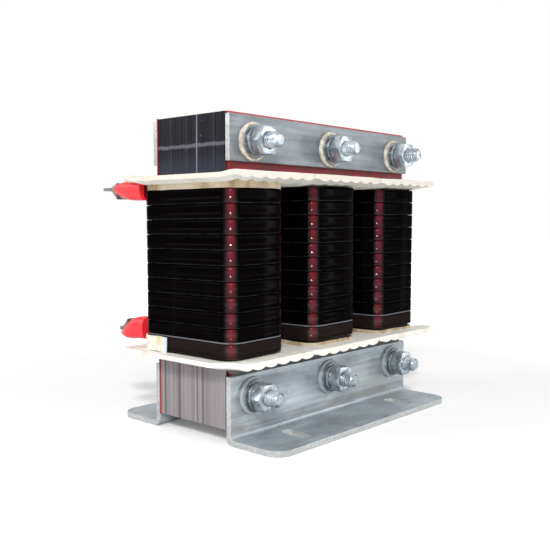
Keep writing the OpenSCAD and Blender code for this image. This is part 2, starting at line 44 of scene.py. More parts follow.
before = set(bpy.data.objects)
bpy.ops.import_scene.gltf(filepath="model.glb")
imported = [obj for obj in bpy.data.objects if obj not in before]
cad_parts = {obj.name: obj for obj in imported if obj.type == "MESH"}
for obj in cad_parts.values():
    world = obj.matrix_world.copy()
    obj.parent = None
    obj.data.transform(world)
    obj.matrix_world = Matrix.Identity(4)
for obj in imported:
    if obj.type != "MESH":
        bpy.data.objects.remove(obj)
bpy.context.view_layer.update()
BODY = "root"
MM = 0.001
COILS = ("left", "middle", "right")
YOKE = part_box("top_yoke")


def centre(node):
    """Middle of a node's box."""
    low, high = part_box(node)
    return (low + high) / 2


def smoothstep(low, high, value):
    """0 below low, 1 above high and a smooth rise between."""
    t = min(max((value - low) / (high - low), 0.0), 1.0)
    return t * t * (3 - 2 * t)


def wobble(point, scale, seed=0.0):
    """Smooth noise between about -1 and 1 at a point."""
    return noise.noise(Vector(point) * scale + Vector((seed, seed * 1.7, seed * 0.3)))


# Sizes and colours

class ReactorCoils(bpy.types.PropertyGroup):
    """Sizes of the flat-wire coils"""
    turns: IntProperty(name="Turns", description="Turns on each coil", default=11, min=3, max=24)
    wire_height: FloatProperty(
        name="Wire height", description="Height of the flat wire", default=7.23 * MM, unit="LENGTH")
    wire_thickness: FloatProperty(
        name="Wire thickness", description="Thickness of the flat wire", default=2.4 * MM, unit="LENGTH")
    wire_edge: FloatProperty(
        name="Wire edge", description="Radius of the wire's edges", default=0.65 * MM, unit="LENGTH")
    turn_gap: FloatProperty(
        name="Turn gap", description="Gap between neighbouring turns", default=0.1 * MM, unit="LENGTH")
    turn_rise: FloatProperty(
        name="Turn rise", description="Rise over a turn's plain sides", default=1.2 * MM, unit="LENGTH")
    corner_radius: FloatProperty(
        name="Corner radius", description="Radius at the middle of the wire", default=6.3 * MM, unit="LENGTH")
    corner_steps: IntProperty(
        name="Corner steps", description="Steps round each corner", default=8, min=2, max=24)
    lead_radius: FloatProperty(
        name="Lead radius", description="Bend radius of the leads", default=3.0 * MM, unit="LENGTH")
    lead_climb: FloatProperty(
        name="Lead climb", description="Rise of the bottom leads", default=5.0 * MM, unit="LENGTH")
    lead_rise: FloatProperty(
        name="Lead rise", description="Rise of the top leads behind the coils", default=3.4 * MM,
        unit="LENGTH")


class ReactorBoards(bpy.types.PropertyGroup):
    """Sizes of the end boards and their cloth"""
    edge_lift: FloatProperty(
        name="Edge lift", description="Rise of a top board's free edge", default=2.0 * MM, unit="LENGTH")
    end_lift: FloatProperty(
        name="End lift", description="Rise of the outer boards' free ends", default=1.0 * MM, unit="LENGTH")
    station: FloatProperty(
        name="Station", description="Spacing of the bending lines", default=3.0 * MM, unit="LENGTH")


class ReactorMetal(bpy.types.PropertyGroup):
    """Sizes of the steel parts"""
    sheet: FloatProperty(
        name="Lamination", description="Thickness of one lamination", default=0.5 * MM, unit="LENGTH")
    plate_edge: FloatProperty(
        name="Plate edge", description="Rounding of the plates' edges", default=0.35 * MM, unit="LENGTH")
    bolt_edge: FloatProperty(
        name="Bolt edge", description="Rounding of the fasteners' edges", default=0.2 * MM, unit="LENGTH")
    thread_pitch: FloatProperty(
        name="Thread pitch", description="Pitch of the bolts' threads", default=1.25 * MM, unit="LENGTH")


class ReactorColours(bpy.types.PropertyGroup):
    """Colours of the reactor's finishes"""
    zinc: FloatVectorProperty(
        name="Zinc", description="Zinc-plated steel", default=(0.33, 0.37, 0.40), subtype="COLOR")
    # Colour of the painted ruby glow, a painted highlight at the coils' corners.
    ruby: FloatVectorProperty(
        name="Ruby", description="Enamel where light passes it", default=(0.12, 0.002, 0.006),
        subtype="COLOR")
    enamel: FloatVectorProperty(
        name="Enamel", description="Enamel on the flats", default=(0.0012, 0.0007, 0.0008), subtype="COLOR")
    sleeve: FloatVectorProperty(
        name="Sleeve", description="Sleeves of the leads", default=(1.0, 0.028, 0.04), subtype="COLOR")
    sheet: FloatVectorProperty(
        name="Sheet", description="Insulating sheets", default=(0.20, 0.006, 0.010), subtype="COLOR")
    board: FloatVectorProperty(
        name="Board", description="End boards", default=(0.88, 0.87, 0.81), subtype="COLOR")
    cloth: FloatVectorProperty(
        name="Cloth", description="Varnished glass cloth", default=(0.50, 0.42, 0.28), subtype="COLOR")


class ReactorStudio(bpy.types.PropertyGroup):
    """Camera and lights"""
    camera_place: FloatVectorProperty(
        name="Camera", description="Where the camera stands", default=(-0.3277, -0.2842, 0.1088),
        subtype="TRANSLATION", unit="LENGTH")
    azimuth: FloatProperty(
        name="Azimuth", description="Camera's turn about the vertical", default=math.radians(-47.91),
        subtype="ANGLE")
    elevation: FloatProperty(
        name="Elevation", description="Camera's height as an angle", default=math.radians(4.25),
        subtype="ANGLE")
    lens: FloatProperty(name="Lens", description="Focal length in millimetres", default=50.34)
    floor_size: FloatProperty(
        name="Floor", description="Width of the floor", default=6.0, unit="LENGTH")
    floor_clear: FloatProperty(
        name="Clear floor", description="Radius of the floor that takes shadows", default=0.22, unit="LENGTH")


# Mesh helpers

def new_piece(bm, name, finish, replaced=(), sharp=math.radians(32)):
    """Turns a bmesh into a finished piece that rides with the reactor."""
    bm.normal_update()
    for face in bm.faces:
        face.smooth = True
    for edge in bm.edges:
        edge.smooth = len(edge.link_faces) == 2 and edge.calc_face_angle(0.0) < sharp
    mesh = bpy.data.meshes.new(name)
    bm.to_mesh(mesh)
    bm.free()
    mesh.materials.append(finish)
    piece = bpy.data.objects.new(name, mesh)
    bpy.context.scene.collection.objects.link(piece)
    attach(piece, BODY)
    if replaced:
        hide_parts(*replaced)
    return piece


def paint_node(node, finish):
    """Gives a CAD node its finish."""
    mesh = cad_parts[node].data
    mesh.materials.clear()
    mesh.materials.append(finish)


def copy_of(node):
    """Merged copy of a CAD node's mesh with its flat faces joined."""
    bm = bmesh.new()
    bm.from_mesh(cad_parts[node].data)
    bmesh.ops.remove_doubles(bm, verts=bm.verts, dist=1e-6)
    bmesh.ops.dissolve_limit(
        bm, angle_limit=math.radians(0.5), verts=bm.verts, edges=bm.edges)
    return bm


def cut(bm, point, normal):
    """Cuts every face that a plane crosses."""
    bmesh.ops.bisect_plane(
        bm, geom=[*bm.verts, *bm.edges, *bm.faces], plane_co=point, plane_no=normal)


def soften(bm, width, segments=2, angle=math.radians(35)):
    """Rounds every sharp edge."""
    sharp = [
        e for e in bm.edges
        if len(e.link_faces) == 2 and e.calc_face_angle(0.0) > angle
    ]
    bmesh.ops.bevel(
        bm, geom=sharp, offset=width, offset_type="OFFSET", segments=segments,
        profile=0.5, affect="EDGES", clamp_overlap=True, material=-1)


def wire_profile(bm, thickness, height, edge, segments=4):
    """Face of the wire's section in the XZ plane, with round edges."""
    grid = bmesh.ops.create_grid(bm, x_segments=1, y_segments=1, size=0.5)
    bmesh.ops.scale(bm, vec=(thickness, height, 1), verts=grid["verts"])
    bmesh.ops.rotate(
        bm, cent=(0, 0, 0), matrix=Matrix.Rotation(math.pi / 2, 3, "X"), verts=grid["verts"])
    bmesh.ops.bevel(
        bm, geom=grid["verts"], offset=edge, offset_type="OFFSET", segments=segments,
        profile=0.5, affect="VERTICES", material=-1)
    return list(bm.faces)[0]


def grow(bm, loop):
    """Extrudes a loop of edges in place and returns the new points and the new loop."""
    made = bmesh.ops.extrude_edge_only(bm, edges=loop)["geom"]
    points = [g for g in made if isinstance(g, bmesh.types.BMVert)]
    kept = set(points)
    edges = [
        g for g in made
        if isinstance(g, bmesh.types.BMEdge) and g.verts[0] in kept and g.verts[1] in kept
    ]
    return points, edges


def sweep(bm, face, stations):
    """Extrudes a face through stations, each a 4x4 matrix, and returns each station's points."""
    place = stations[0]
    bmesh.ops.transform(bm, matrix=place, verts=face.verts)
    rings = [list(face.verts)]
    loop = list(face.edges)
    for target in stations[1:]:
        points, loop = grow(bm, loop)
        bmesh.ops.transform(bm, matrix=target @ place.inverted(), verts=points)
        rings.append(points)
        place = target
    bmesh.ops.contextual_create(bm, geom=loop)
    bmesh.ops.recalc_face_normals(bm, faces=bm.faces)
    return rings


def loft(bm, outlines):
    """Skin through outlines of as many points each, open at both ends."""
    ring = bmesh.ops.create_circle(bm, segments=len(outlines[0]), radius=1)["verts"]
    loop = list({e for v in ring for e in v.link_edges})
    places = {v: k for k, v in enumerate(ring)}
    for v, k in places.items():
        v.co = outlines[0][k]
    for outline in outlines[1:]:
        points, loop = grow(bm, loop)
        fresh = {}
        for v in points:
            below = next(e.other_vert(v) for e in v.link_edges if e.other_vert(v) in places)
            fresh[v] = places[below]
        for v, k in fresh.items():
            v.co = outline[k]
        places = fresh


def oval(centre_at, width, height, squareness=0.7, sides=32):
    """Outline of a rounded section across Y."""
    spots = []
    for k in range(sides):
        c, s = math.cos(2 * math.pi * k / sides), math.sin(2 * math.pi * k / sides)
        x = width / 2 * math.copysign(abs(c) ** squareness, c)
        z = height / 2 * math.copysign(abs(s) ** squareness, s)
        spots.append(Vector(centre_at) + Vector((x, 0, z)))
    return spots


# Finishes

class Finish:
    """Node material built round one Principled shader."""

    def __init__(self, name, **sockets):
        self.material = bpy.data.materials.new(name)
        self.material.use_nodes = True
        self.tree = self.material.node_tree
        self.shader = self.tree.nodes["Principled BSDF"]
        for key, value in sockets.items():
            self.shader.inputs[key.replace("_", " ")].default_value = value
        self.place = self.add("ShaderNodeTexCoord").outputs["Object"]

    def add(self, kind, settings=None, **inputs):
        """Adds a node, with its settings and its inputs set or linked."""
        node = self.tree.nodes.new(kind)
        for key, value in (settings or {}).items():
            setattr(node, key, value)
        for key, value in inputs.items():
            spot = int(key[1:]) if key[0] == "i" and key[1:].isdigit() else key
            self.feed(node.inputs[spot], value)
        return node

    def feed(self, socket, value):
        """Links an output to a socket, or sets it."""
        if isinstance(value, bpy.types.NodeSocket):
            self.tree.links.new(value, socket)
        else:
            socket.default_value = value

    def math(self, operation, first, second=0.0, third=0.0):
        """One Math node's output."""
        return self.add(
            "ShaderNodeMath", {"operation": operation}, i0=first, i1=second, i2=third).outputs[0]

    def noise(self, scale, detail=3.0, rough=0.55, stretch=(1, 1, 1)):
        """Noise from 0 to 1 on the object's own coordinates."""
        spot = self.add("ShaderNodeMapping", Vector=self.place, Scale=stretch).outputs[0]
        node = self.add("ShaderNodeTexNoise", Vector=spot, Scale=scale, Detail=detail, Roughness=rough)
        return node.outputs["Fac"]

    def tag(self, name):
        """Value that the mesh carries under a name."""
        return self.add("ShaderNodeAttribute", {"attribute_name": name}).outputs["Fac"]

    def line(self, value, at, width):
        """1 at a value, fading to 0 a width away."""
        gap = self.math("ABSOLUTE", self.math("SUBTRACT", value, at))
        return self.math("SUBTRACT", 1.0, self.steps(gap, 0.3 * width, width))

    def steps(self, value, low, high):
        """Smooth step of a value between two limits."""
        node = self.add(
            "ShaderNodeMapRange", {"interpolation_type": "SMOOTHSTEP"},
            Value=value, i1=low, i2=high)
        return node.outputs[0]

    def split(self):
        """The object's X, Y and Z."""
        return self.add("ShaderNodeSeparateXYZ", i0=self.place).outputs

    def facing(self, axis):
        """How squarely the surface faces along an axis, from 0 to 1."""
        normal = self.add("ShaderNodeNewGeometry").outputs["True Normal"]
        return self.math("ABSOLUTE", self.add("ShaderNodeSeparateXYZ", i0=normal).outputs[axis])

    def blend(self, factor, first, second):
        """Mix of two colours."""
        node = self.add("ShaderNodeMix", {"data_type": "RGBA"}, i0=factor)
        self.feed(node.inputs[6], first)
        self.feed(node.inputs[7], second)
        return node.outputs[2]

    def colour(self, value):
        """Sets the base colour."""
        self.feed(self.shader.inputs["Base Color"], value)

    def rough(self, value):
        """Sets the roughness."""
        self.feed(self.shader.inputs["Roughness"], value)

    def bump(self, height, strength, distance=0.1 * MM):
        """Adds a bump from a height."""
        node = self.add("ShaderNodeBump", Strength=strength, Distance=distance, Height=height)
        if self.shader.inputs["Normal"].is_linked:
            self.feed(node.inputs["Normal"], self.shader.inputs["Normal"].links[0].from_socket)
        self.feed(self.shader.inputs["Normal"], node.outputs[0])
        self.feed(self.shader.inputs["Coat Normal"], node.outputs[0])

    def sink(self, value, low, high):
        """Remaps 0..1 to low..high."""
        return self.math("MULTIPLY_ADD", value, high - low, low)


def rgba(colour, gain=1.0):
    """Colour with alpha, scaled by a gain."""
    return (*[min(c * gain, 1.0) for c in colour], 1.0)


def zinc_plate(name, gain=1.0):
    """Cloudy zinc plating with faint rolling streaks, dull smudges, painted shade along the bend and pale cut
    edges, partly bare steel and partly a painted highlight.
    """
    # The gain paints a light level into the whole zinc: below 1 it is painted shade, above 1 painted light.
    zinc = bpy.context.scene.reactor_colours.zinc
    f = Finish(name, Metallic=0.5, Specular_IOR_Level=0.3)
    z = f.split()[2]
    cloud = f.noise(55, 4, 0.6)
    streak = f.noise(70, 3, 0.6, (0.25, 1, 6))
    grain = f.noise(420, 2, 0.6, (0.3, 1, 1))
    smudge = f.steps(f.noise(28, 3, 0.5), 0.5, 0.7)
    tone = f.math("MULTIPLY_ADD", f.math("ADD", cloud, streak), 0.5, 0.0)
    base = f.blend(f.steps(tone, 0.36, 0.64), rgba(zinc, 0.7 * gain), rgba(zinc, 1.2 * gain))
    base = f.blend(f.math("MULTIPLY", f.steps(grain, 0.5, 0.8), 0.25), base, rgba(zinc, 1.5 * gain))
    base = f.blend(f.math("MULTIPLY", smudge, 0.4), base, rgba((0.24, 0.245, 0.22), gain))
    # Painted shade: a patchy dark brown line along the bend, 7.5 mm up.
    painted_bend_shade = f.math("MULTIPLY", f.line(z, 7.5 * MM, 3.0 * MM), f.steps(cloud, 0.4, 0.65))
    base = f.blend(f.math("MULTIPLY", painted_bend_shade, 0.55), base, rgba((0.17, 0.15, 0.13), gain))
    # Pale edges on the ends facing X and the foot's side edges: bare sheared steel, and partly a painted
    # highlight.
    rim = f.math("MULTIPLY", f.steps(f.facing(2), 0.5, 0.2), f.steps(z, 4.2 * MM, 3.2 * MM))
    cut = f.math("MAXIMUM", f.steps(f.facing(0), 0.6, 0.9), rim)
    bare_steel_and_highlight = f.blend(f.steps(f.noise(700, 3), 0.3, 0.7), (0.40, 0.41, 0.40, 1), (0.60, 0.60, 0.58, 1))
    f.colour(f.blend(f.math("MULTIPLY", cut, 0.7), base, bare_steel_and_highlight))
    f.rough(f.sink(cloud, 0.36, 0.55))
    f.bump(f.noise(900, 2), 0.12)
    return f.material


def bright_zinc():
    """Bright plated fasteners with light handling marks and painted shade in the joints between them."""
    f = Finish("bright_zinc", Metallic=0.75, Specular_IOR_Level=0.4)
    y = f.split()[1]
    cloud = f.noise(260, 3)
    base = f.blend(f.steps(cloud, 0.3, 0.7), (0.25, 0.29, 0.33, 1), (0.56, 0.61, 0.65, 1))
    # Painted shade: dark lines where the washers meet the next part.
    flat = f.line(y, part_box("flat_washers")[0].y, 0.45 * MM)
    spring = f.line(y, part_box("spring_washers")[0].y, 0.45 * MM)
    painted_joint_shade = f.math("MULTIPLY", f.math("MAXIMUM", flat, spring), f.sink(cloud, 0.5, 1.0))
    f.colour(f.blend(painted_joint_shade, base, (0.035, 0.04, 0.05, 1)))
    f.rough(f.sink(f.noise(400, 2), 0.2, 0.36))
    f.bump(f.noise(1500, 2), 0.1)
    return f.material


def enamel():
    """Near-black enamel with painted light: a ruby glow where the wire bends round a corner, brighter towards
    each turn's top, painted reflection bars, a painted reflection on the lowest turn, painted highlights
    along the turns' lower edges, and a low bead along each turn.
    """
    colours = bpy.context.scene.reactor_colours
    f = Finish("enamel", Specular_IOR_Level=0.0, Coat_Roughness=0.08, Coat_IOR=1.4)
    bend, up, turn = f.tag("bend"), f.tag("up"), f.tag("turn")
    cloud = f.noise(160, 3)
    hue = f.add("ShaderNodeTexWhiteNoise", {"noise_dimensions": "1D"}, W=turn).outputs["Value"]
    # Painted highlight: the ruby glow where the wire bends round a corner, brighter towards each turn's top
    # as if lit from above.
    painted_top_light = f.math("MULTIPLY", f.sink(f.steps(up, -0.9, 0.5), 0.45, 1.0), f.sink(cloud, 0.7, 1.25))
    glow = f.math("MULTIPLY", f.steps(bend, 0.5, 0.95), painted_top_light)
    ruby = f.blend(f.math("MULTIPLY", hue, 0.6), rgba(colours.ruby), rgba((0.10, 0.006, 0.024)))
    # Painted reflection: the lowest turn a little lighter and browner.
    first = f.line(turn, 0.0, 0.6)
    # Painted reflection: faint grey-violet vertical bars on the black flats.
    painted_reflection_bars = f.steps(f.noise(75, 2, 0.5, (1, 1, 0.03)), 0.55, 0.75)
    black = f.blend(f.math("MULTIPLY", painted_reflection_bars, 0.7), rgba(colours.enamel), rgba((0.009, 0.007, 0.0105)))
    black = f.blend(first, black, (0.0135, 0.0095, 0.0085, 1))
    # Painted highlight: a patchy grey line along each turn's lower edge.
    seam = f.math("MULTIPLY", f.line(up, -1.0, 0.16), f.sink(f.steps(cloud, 0.35, 0.6), 0.25, 1.0))
    black = f.blend(f.math("MULTIPLY", seam, 0.5), black, rgba((0.06, 0.06, 0.068)))
    # Painted highlight: a pale grey line along the lower edge of the second turn from the bottom.
    painted_ledge_highlight = f.math("MULTIPLY", f.line(up, -0.92, 0.18), f.line(turn, 1.0, 0.6))
    black = f.blend(painted_ledge_highlight, black, (0.19, 0.19, 0.21, 1))
    f.colour(f.blend(glow, black, ruby))
    f.feed(f.shader.inputs["Coat Weight"], f.sink(f.steps(bend, 0.3, 0.7), 0.03, 0.6))
    f.rough(f.sink(f.noise(300, 2), 0.12, 0.25))
    off = f.math("DIVIDE", f.math("ADD", up, 0.42), 0.2)
    bead = f.math("EXPONENT", f.math("MULTIPLY", f.math("MULTIPLY", off, off), -1.0))
    f.bump(f.math("SUBTRACT", bead, f.steps(up, 0.68, 1.0)), 1.0, 0.3 * MM)
    return f.material


def white_board():
    """White fibre board with faint darker streaks along Y, stained by varnish and greyer at its cut edges."""
    board = bpy.context.scene.reactor_colours.board
    f = Finish("white_board", Specular_IOR_Level=0.2)
    z = f.split()[2]
    stain = f.steps(f.noise(70, 4, 0.65), 0.52, 0.78)
    fibre = f.noise(900, 3, 0.6, (1, 0.12, 1))
    base = f.blend(f.math("MULTIPLY", stain, 0.55), rgba(board), (0.58, 0.48, 0.28, 1))
    base = f.blend(f.steps(fibre, 0.3, 0.7), f.blend(0.15, base, (0.5, 0.47, 0.38, 1)), base)
    side = f.math("SUBTRACT", 1.0, f.steps(f.facing(2), 0.3, 0.75))
    high = f.steps(z, 70 * MM, 90 * MM)
    grey = f.math("MULTIPLY", side, f.sink(high, 0.08, 0.45))
    f.colour(f.blend(grey, base, f.blend(f.noise(220, 3), (0.36, 0.29, 0.20, 1), (0.60, 0.54, 0.44, 1))))
    f.rough(f.sink(fibre, 0.45, 0.7))
    f.bump(fibre, 0.3, 0.15 * MM)
    return f.material


def glass_cloth():
    """Cream glass cloth soaked in varnish, with brown runs down it."""
    cloth = bpy.context.scene.reactor_colours.cloth
    f = Finish("glass_cloth", Specular_IOR_Level=0.2, Coat_Weight=0.15, Coat_Roughness=0.25)
    stain = f.noise(110, 4, 0.65)
    run = f.steps(f.noise(150, 3, 0.6, (1, 1, 0.25)), 0.5, 0.68)
    pale = f.steps(f.noise(60, 2), 0.48, 0.7)
    base = f.blend(f.steps(stain, 0.4, 0.75), rgba(cloth, 1.1), rgba((0.27, 0.18, 0.07)))
    base = f.blend(f.math("MULTIPLY", run, 0.5), base, rgba((0.17, 0.10, 0.04)))
    f.colour(f.blend(f.math("MULTIPLY", pale, 0.5), base, rgba((0.66, 0.60, 0.48))))
    f.rough(f.sink(stain, 0.35, 0.6))
    weave = f.add("ShaderNodeTexWave", {"bands_direction": "DIAGONAL"}, Vector=f.place, Scale=420)
    f.bump(weave.outputs["Fac"], 0.25, 0.2 * MM)
    return f.material


def start_tape():
    """Pale tape round the winding's start, bluish white at its loose end."""
    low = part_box("start_tapes")[0]
    f = Finish("start_tape", Specular_IOR_Level=0.2)
    y = f.split()[1]
    stain = f.noise(190, 4, 0.7)
    base = f.blend(f.steps(stain, 0.38, 0.62), (0.82, 0.80, 0.70, 1), (0.66, 0.58, 0.38, 1))
    loose = f.steps(f.math("MULTIPLY_ADD", f.noise(160, 3), 2 * MM, y), low.y - 0.2 * MM, low.y - 1.0 * MM)
    f.colour(f.blend(loose, base, (0.62, 0.68, 0.80, 1)))
    f.rough(f.sink(stain, 0.4, 0.6))
    f.bump(stain, 0.4, 0.2 * MM)
    return f.material


def red_sheet():
    """Dark red sheet, paler and frayed at its cut edges: pale cut fibre and partly a painted highlight."""
    sheet = bpy.context.scene.reactor_colours.sheet
    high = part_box("front_top_sheet")[1]
    f = Finish("red_sheet", Specular_IOR_Level=0.25)
    x, _, z = f.split()
    end = f.steps(f.math("ABSOLUTE", x), high.x - 0.5 * MM, high.x - 0.1 * MM)
    top = f.steps(z, high.z - 1.5 * MM, high.z - 1.0 * MM)
    cloud = f.noise(90, 4)
    base = f.blend(f.steps(cloud, 0.35, 0.7), rgba(sheet, 0.8), rgba(sheet, 1.35))
    # Paler cut edges at the ends and along the top: cut fibre, partly a painted highlight.
    edge = f.blend(f.noise(700, 2), (0.40, 0.025, 0.035, 1), (0.56, 0.12, 0.13, 1))
    f.colour(f.blend(f.math("MULTIPLY", f.math("MAXIMUM", end, top), 0.85), base, edge))
    f.rough(f.sink(cloud, 0.35, 0.55))
    f.bump(f.noise(300, 3), 0.15)
    return f.material


def red_sleeve():
    """Bright red shrunk sleeving with soft creases."""
    f = Finish(
        "red_sleeve", Specular_IOR_Level=0.45, Subsurface_Weight=0.15,
        Subsurface_Radius=(0.004, 0.0006, 0.0006), Subsurface_Scale=0.4)
    sleeve = bpy.context.scene.reactor_colours.sleeve
    crease = f.noise(180, 3, 0.5, (1, 0.5, 1))
    f.colour(f.blend(f.steps(crease, 0.3, 0.7), rgba(sleeve, 0.88), rgba(sleeve, 1.05)))
    f.rough(f.sink(crease, 0.3, 0.46))
    f.bump(crease, 0.35, 0.4 * MM)
    return f.material


def laminations(name, dark, light, seam, varnish, packets=(), joints=0.0):
    """Edges of stacked laminations, a tone to each sheet, with a few brown packets and dried joints."""
    sheet = bpy.context.scene.reactor_metal.sheet
    low, high = YOKE
    f = Finish(name, Metallic=0.1, Specular_IOR_Level=0.08, Coat_Weight=varnish, Coat_Roughness=0.25)
    _, y, z = f.split()
    count = f.math("FLOOR", f.math("DIVIDE", y, sheet))
    tone = f.add("ShaderNodeTexWhiteNoise", {"noise_dimensions": "1D"}, W=count).outputs["Value"]
    drift = f.noise(60, 4, 0.6, (1, 4, 0.35))
    level = f.math("MULTIPLY_ADD", f.math("ADD", tone, drift), 0.5, 0.0)
    base = f.blend(f.steps(level, 0.2, 0.85), rgba(dark), rgba(light))
    for share, width in packets:
        strip = f.line(y, high.y - share * (high.y - low.y), width * MM)
        base = f.blend(f.math("MULTIPLY", strip, f.sink(drift, 0.5, 1.0)), base, rgba(seam))
    ragged = f.math("MULTIPLY_ADD", f.noise(170, 4), 1.6 * MM, z)
    across = f.line(ragged, (low.z + high.z) / 2 + 1.0 * MM, 1.3 * MM)
    along = f.line(f.math("MULTIPLY_ADD", f.noise(90, 3), 0.8 * MM, y), -4.6 * MM, 0.5 * MM)
    pale = f.math("MAXIMUM", f.math("MULTIPLY", across, 0.45), f.math("MULTIPLY", along, 0.9))
    speck = f.add("ShaderNodeTexVoronoi", Vector=f.place, Scale=210.0).outputs["Distance"]
    dots = f.math("MULTIPLY", f.math("SUBTRACT", 1.0, f.steps(speck, 0.05, 0.12)), f.steps(drift, 0.52, 0.6))
    pale = f.math("MULTIPLY", f.math("MAXIMUM", pale, f.math("MULTIPLY", dots, 0.7)), joints)
    # Paler and bluer towards the bottom of the varnished core.
    lower_pale_tint = f.math("MULTIPLY", f.steps(z, (low.z + high.z) / 2, low.z), 0.45 * joints)
    base = f.blend(lower_pale_tint, base, (0.06, 0.065, 0.095, 1))
    f.colour(f.blend(pale, base, (0.22, 0.22, 0.27, 1)))
    f.rough(f.sink(tone, 0.35, 0.6))
    f.bump(f.noise(500, 3, 0.6, (1, 3, 0.2)), 0.2)
    return f.material


def fibre_washer():
    """Fibre washers, mottled cream and brown on the top row and blue-grey below, partly their own tone and
    partly a painted reflection of the zinc plate.
    """
    f = Finish("fibre_washer", Specular_IOR_Level=0.35)
    z = f.split()[2]
    row = f.steps(z, 70 * MM, 90 * MM)
    cloud = f.noise(300, 4)
    # The lower row's blue-grey is partly a painted reflection of the zinc plate.
    low = f.blend(cloud, (0.24, 0.27, 0.29, 1), (0.50, 0.53, 0.55, 1))
    high = f.blend(f.steps(cloud, 0.35, 0.65), (0.42, 0.36, 0.26, 1), (0.74, 0.71, 0.63, 1))
    f.colour(f.blend(row, low, high))
    f.rough(f.sink(cloud, 0.35, 0.6))
    f.bump(cloud, 0.2)
    return f.material


def dull_tin():
    """Dull tinned copper, darkened by heat."""
    f = Finish("dull_tin", Metallic=0.8)
    cloud = f.noise(260, 4)
    f.colour(f.blend(cloud, (0.09, 0.08, 0.08, 1), (0.30, 0.26, 0.23, 1)))
    f.rough(f.sink(cloud, 0.3, 0.5))
    f.bump(cloud, 0.2)
    return f.material


def brown_paper(name, pale, dark):
    """Insulating paper."""
    f = Finish(name, Specular_IOR_Level=0.3)
    fibre = f.noise(500, 4, 0.6, (1, 1, 0.2))
    f.colour(f.blend(fibre, rgba(dark), rgba(pale)))
    f.rough(f.sink(fibre, 0.5, 0.75))
    f.bump(fibre, 0.2)
    return f.material


FINISHES = {}


def finish(name):
    """A finish by name, made once."""
    makers = {
        # Painted light: one zinc made darker on the top strips and lighter on the foot brackets, to even out
        # how the lamps fall on them.
        "strip": lambda: zinc_plate("zinc_strip_painted_shade", 0.62),
        "bracket": lambda: zinc_plate("zinc_bracket_painted_light", 1.12),
        "bright": bright_zinc,
        "enamel": enamel,
        "board": white_board,
        "cloth": glass_cloth,
        "tape": start_tape,
        "sheet": red_sheet,
        "sleeve": red_sleeve,
        "dark_core": lambda: laminations(
            "varnished_core", (0.004, 0.004, 0.006), (0.014, 0.014, 0.021), (0.03, 0.03, 0.042), 0.1,
            ((0.2, 0.8), (0.45, 0.6), (0.85, 0.7)), 1.0),
        "bare_core": lambda: laminations(
            "bare_core", (0.22, 0.20, 0.215), (0.335, 0.31, 0.325), (0.12, 0.085, 0.07), 0.05,
            ((0.08, 0.7), (0.31, 1.6), (0.585, 0.8), (0.67, 0.9))),
        "washer": fibre_washer,
        "tin": dull_tin,
        "paper": lambda: brown_paper("brown_paper", (0.5, 0.38, 0.2), (0.32, 0.22, 0.1)),
        "soaked": lambda: brown_paper("soaked_wrap", (0.02, 0.012, 0.01), (0.008, 0.005, 0.005)),
    }
    if name not in FINISHES:
        FINISHES[name] = makers[name]()
    return FINISHES[name]


# Coils

def outward(heading):
    """Unit vector that points out of a coil for a heading in degrees."""
    a = math.radians(heading)
    return Vector((math.sin(a), -math.cos(a), 0))


